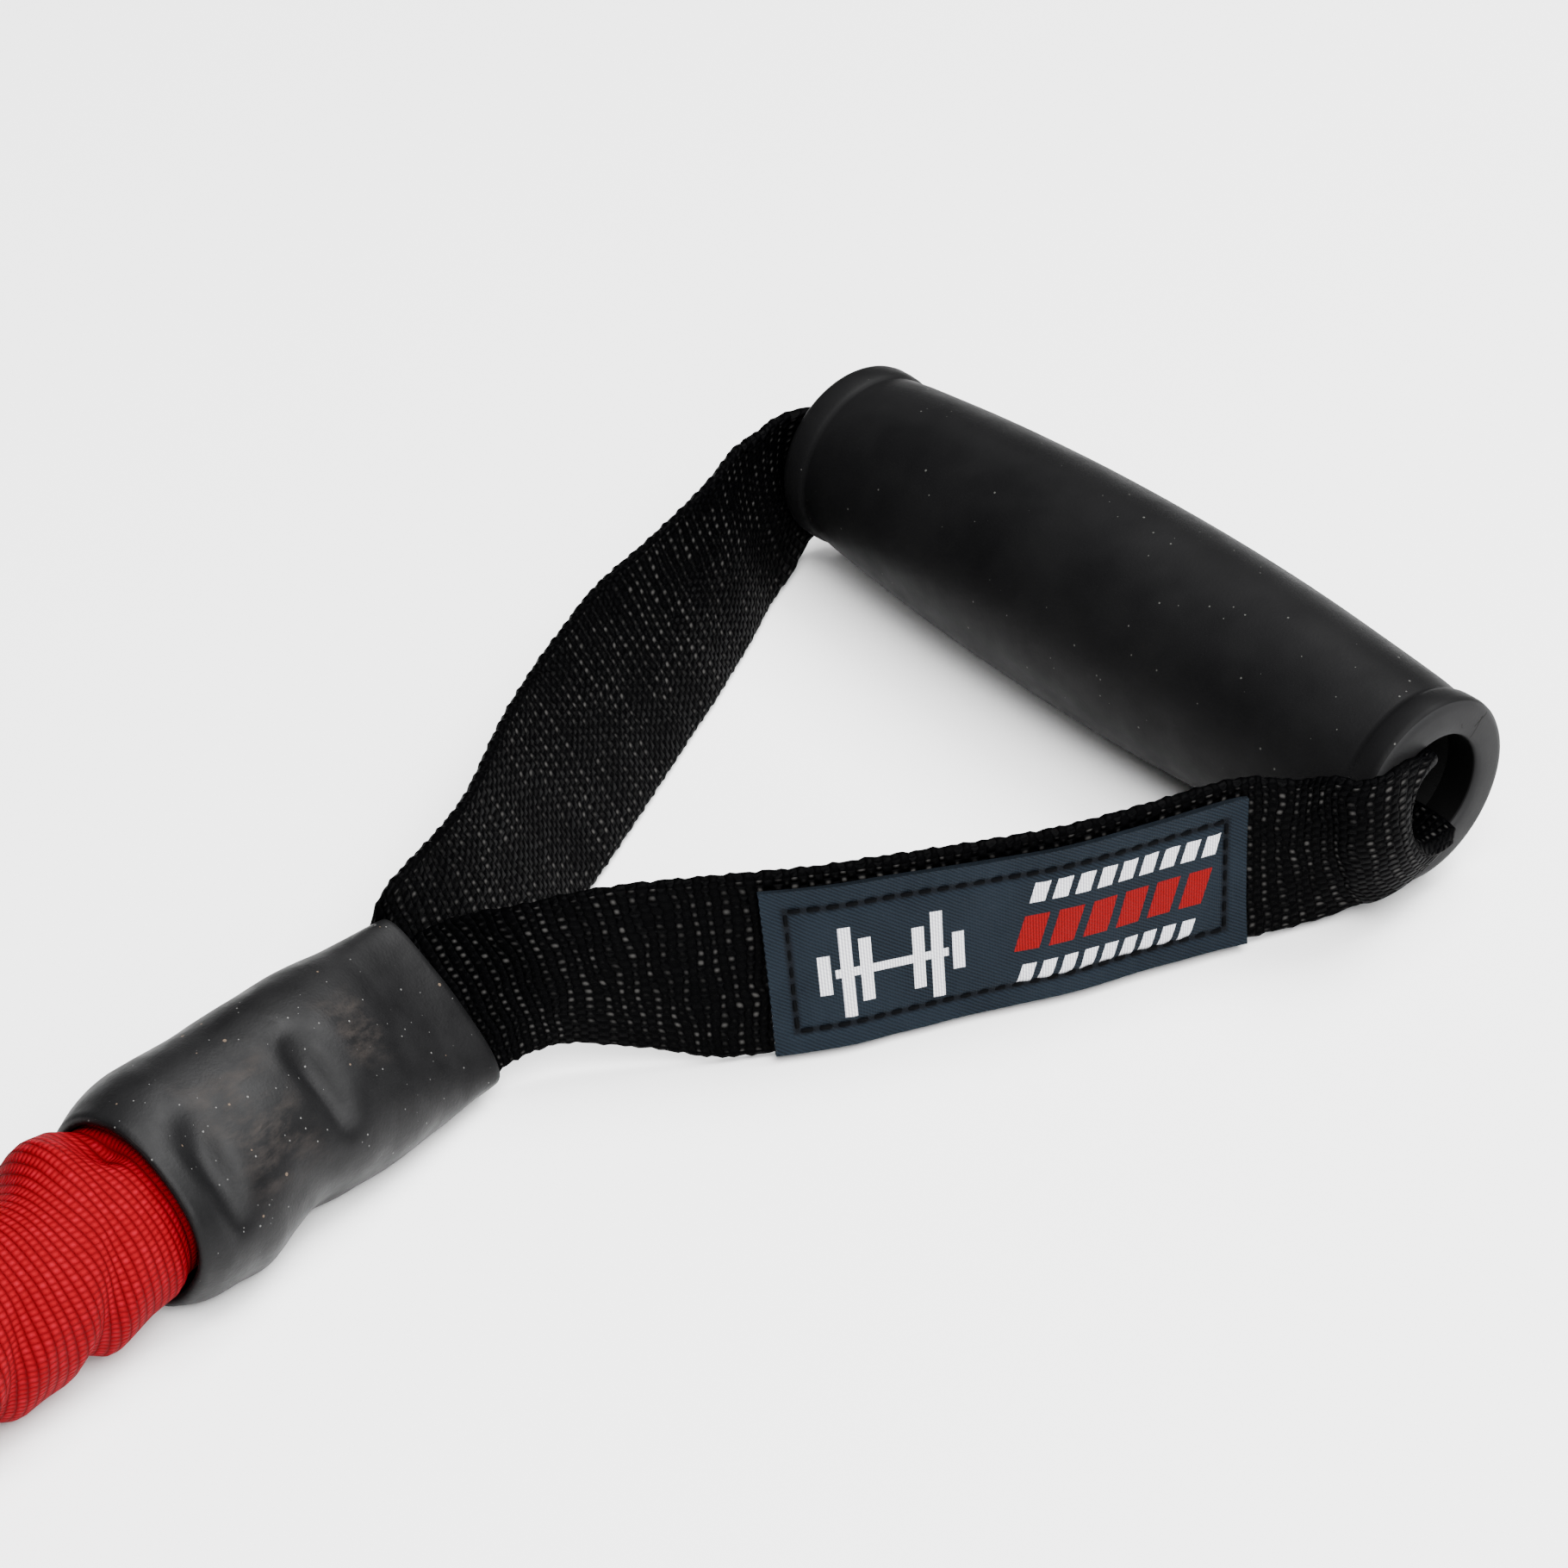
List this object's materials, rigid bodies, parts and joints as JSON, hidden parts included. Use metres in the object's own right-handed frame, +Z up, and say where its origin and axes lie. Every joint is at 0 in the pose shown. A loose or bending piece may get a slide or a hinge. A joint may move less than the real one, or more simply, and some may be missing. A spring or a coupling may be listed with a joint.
{
  "type": "resistance band",
  "caption": "Sleeved resistance tube with a gathered red fabric cover and, at each end, a black webbing loop through a turning rubber grip, laid flat in one fold.",
  "frame": {"origin": "on the surface that the band lies on, under the middle of the box round its two handles", "axes": "+X along the grips, +Y from the band's fold towards the handles, +Z up"},
  "size_m": [0.2726, 0.7521, 0.0369],
  "materials": {
    "grip_rubber": "matt moulded rubber, slightly dusty",
    "liner_plastic": "plain moulded",
    "webbing": "black woven webbing with a slight sheen",
    "label_cloth": "dark slate-blue woven label",
    "thread": "dark sewing thread",
    "tie_steel": "plain",
    "sleeve_rubber": "satin stretched rubber with scuffs and dust",
    "cover_fabric": "red gathered rib-woven cover",
    "latex": "plain natural latex"
  },
  "bodies": {
    "band": {"fabric_cover": "cover_fabric", "latex_tube": "latex", "near_webbing_tail_a": "webbing", "far_webbing_tail_a": "webbing", "front_tie_a": "tie_steel", "rear_tie_a": "tie_steel", "tube_plug_a": "liner_plastic", "cover_end_a": "cover_fabric", "rubber_sleeve_a": "sleeve_rubber", "near_webbing_tail_b": "webbing", "far_webbing_tail_b": "webbing", "front_tie_b": "tie_steel", "rear_tie_b": "tie_steel", "tube_plug_b": "liner_plastic", "cover_end_b": "cover_fabric", "rubber_sleeve_b": "sleeve_rubber"},
    "loop_a": {"webbing_loop_a": "webbing", "label_a": "label_cloth", "label_thread_a": "thread"},
    "handle_grip_a": {"grip_a": "grip_rubber", "grip_liner_a": "liner_plastic"},
    "loop_b": {"webbing_loop_b": "webbing", "label_b": "label_cloth", "label_thread_b": "thread"},
    "handle_grip_b": {"grip_b": "grip_rubber", "grip_liner_b": "liner_plastic"}
  },
  "joints": [
    {"name": "loop_a_swing", "type": "hinge", "parent": "band", "child": "loop_a", "pos_m": [0.06723, 0.06054, 0.01074], "axis": [-0.7477, -0.1086, 0.6551], "range_deg": [-35, 60]},
    {"name": "grip_a_spin", "type": "hinge", "parent": "loop_a", "child": "handle_grip_a", "pos_m": [0.066, 0.194, 0.01845], "axis": [1, 0, 0], "continuous": true},
    {"name": "loop_b_swing", "type": "hinge", "parent": "band", "child": "loop_b", "pos_m": [-0.06477, -0.14746, 0.01074], "axis": [-0.7477, -0.1086, 0.6551], "range_deg": [-35, 60]},
    {"name": "grip_b_spin", "type": "hinge", "parent": "loop_b", "child": "handle_grip_b", "pos_m": [-0.066, -0.014, 0.01845], "axis": [1, 0, 0], "continuous": true}
  ]
}
